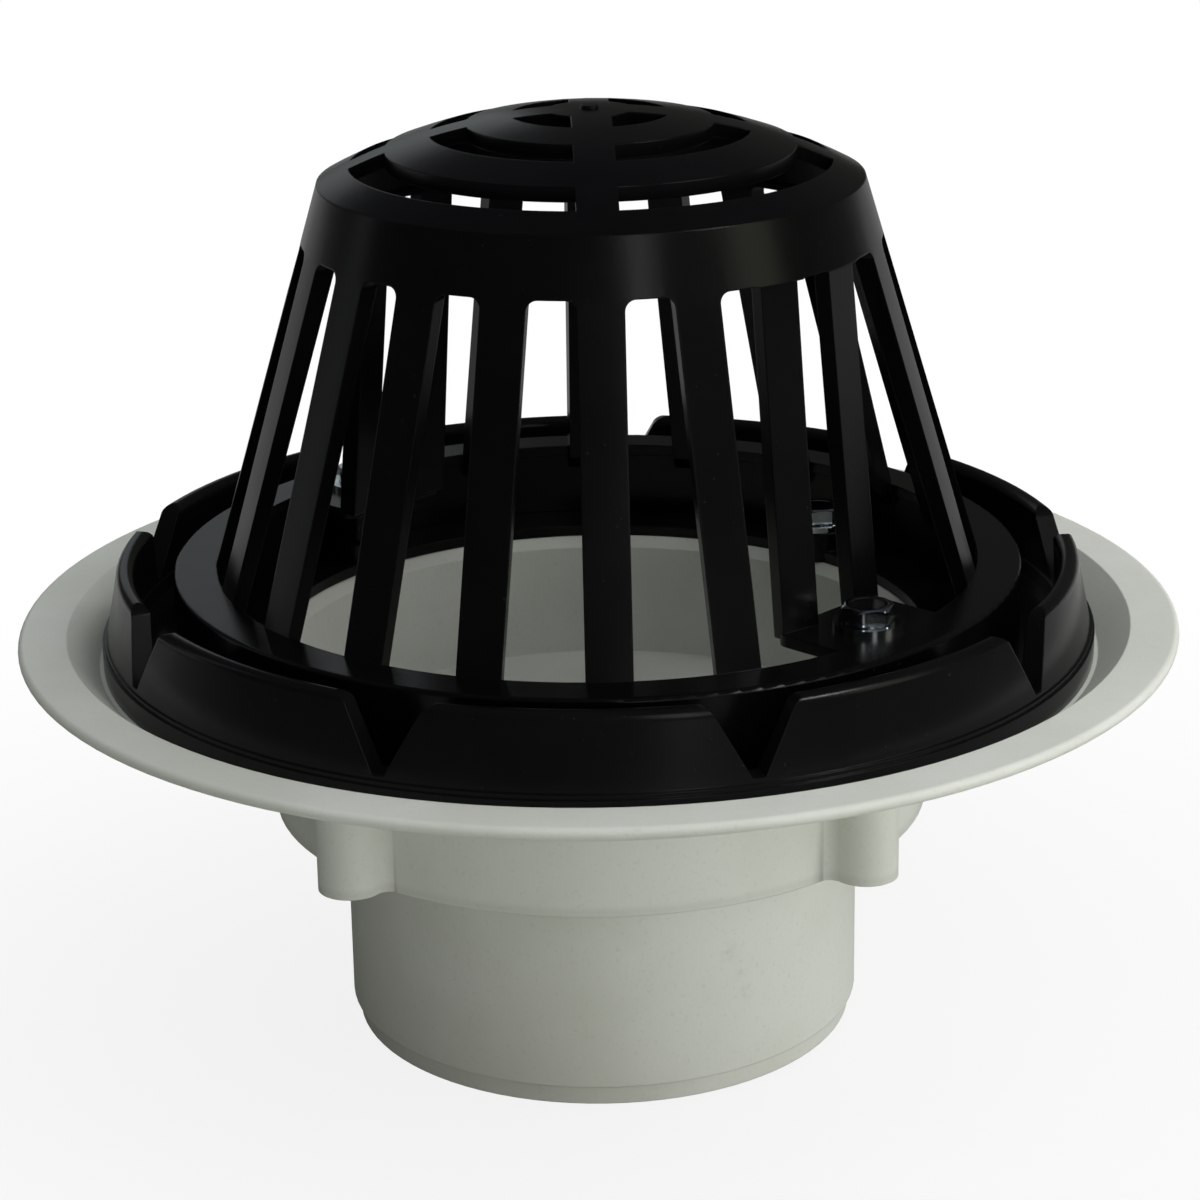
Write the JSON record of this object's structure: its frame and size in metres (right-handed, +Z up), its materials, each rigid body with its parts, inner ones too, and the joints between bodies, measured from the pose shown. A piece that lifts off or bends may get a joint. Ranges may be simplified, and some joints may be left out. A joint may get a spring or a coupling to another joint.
{
  "type": "flat roof drain",
  "caption": "Flat roof drain with a pipe socket, sump and roof flange, a clamping ring with a gravel guard, and a slotted dome strainer.",
  "frame": {"origin": "centre of the hub's mouth, at the bottom of the part", "axes": "+Z up along the drain's axis, through the sump and the dome; the dome's lugs lie at -45 and 135 degrees from +X"},
  "size_m": [0.2794, 0.2794, 0.2259],
  "materials": {
    "pale_pvc": "satin moulded, with faint marks",
    "black_ring": "moulded, semi-gloss",
    "black_dome": "moulded, semi-gloss",
    "zinc_bolts": "bright zinc",
    "zinc_washers": "bright zinc",
    "brass_inserts": "turned"
  },
  "bodies": {
    "root": {"drain_body": "pale_pvc", "clamping_ring": "black_ring", "dome_strainer": "black_dome", "dome_bolts": "zinc_bolts", "ring_bolts": "zinc_bolts", "washers": "zinc_washers", "thread_inserts": "brass_inserts"}
  },
  "joints": []
}
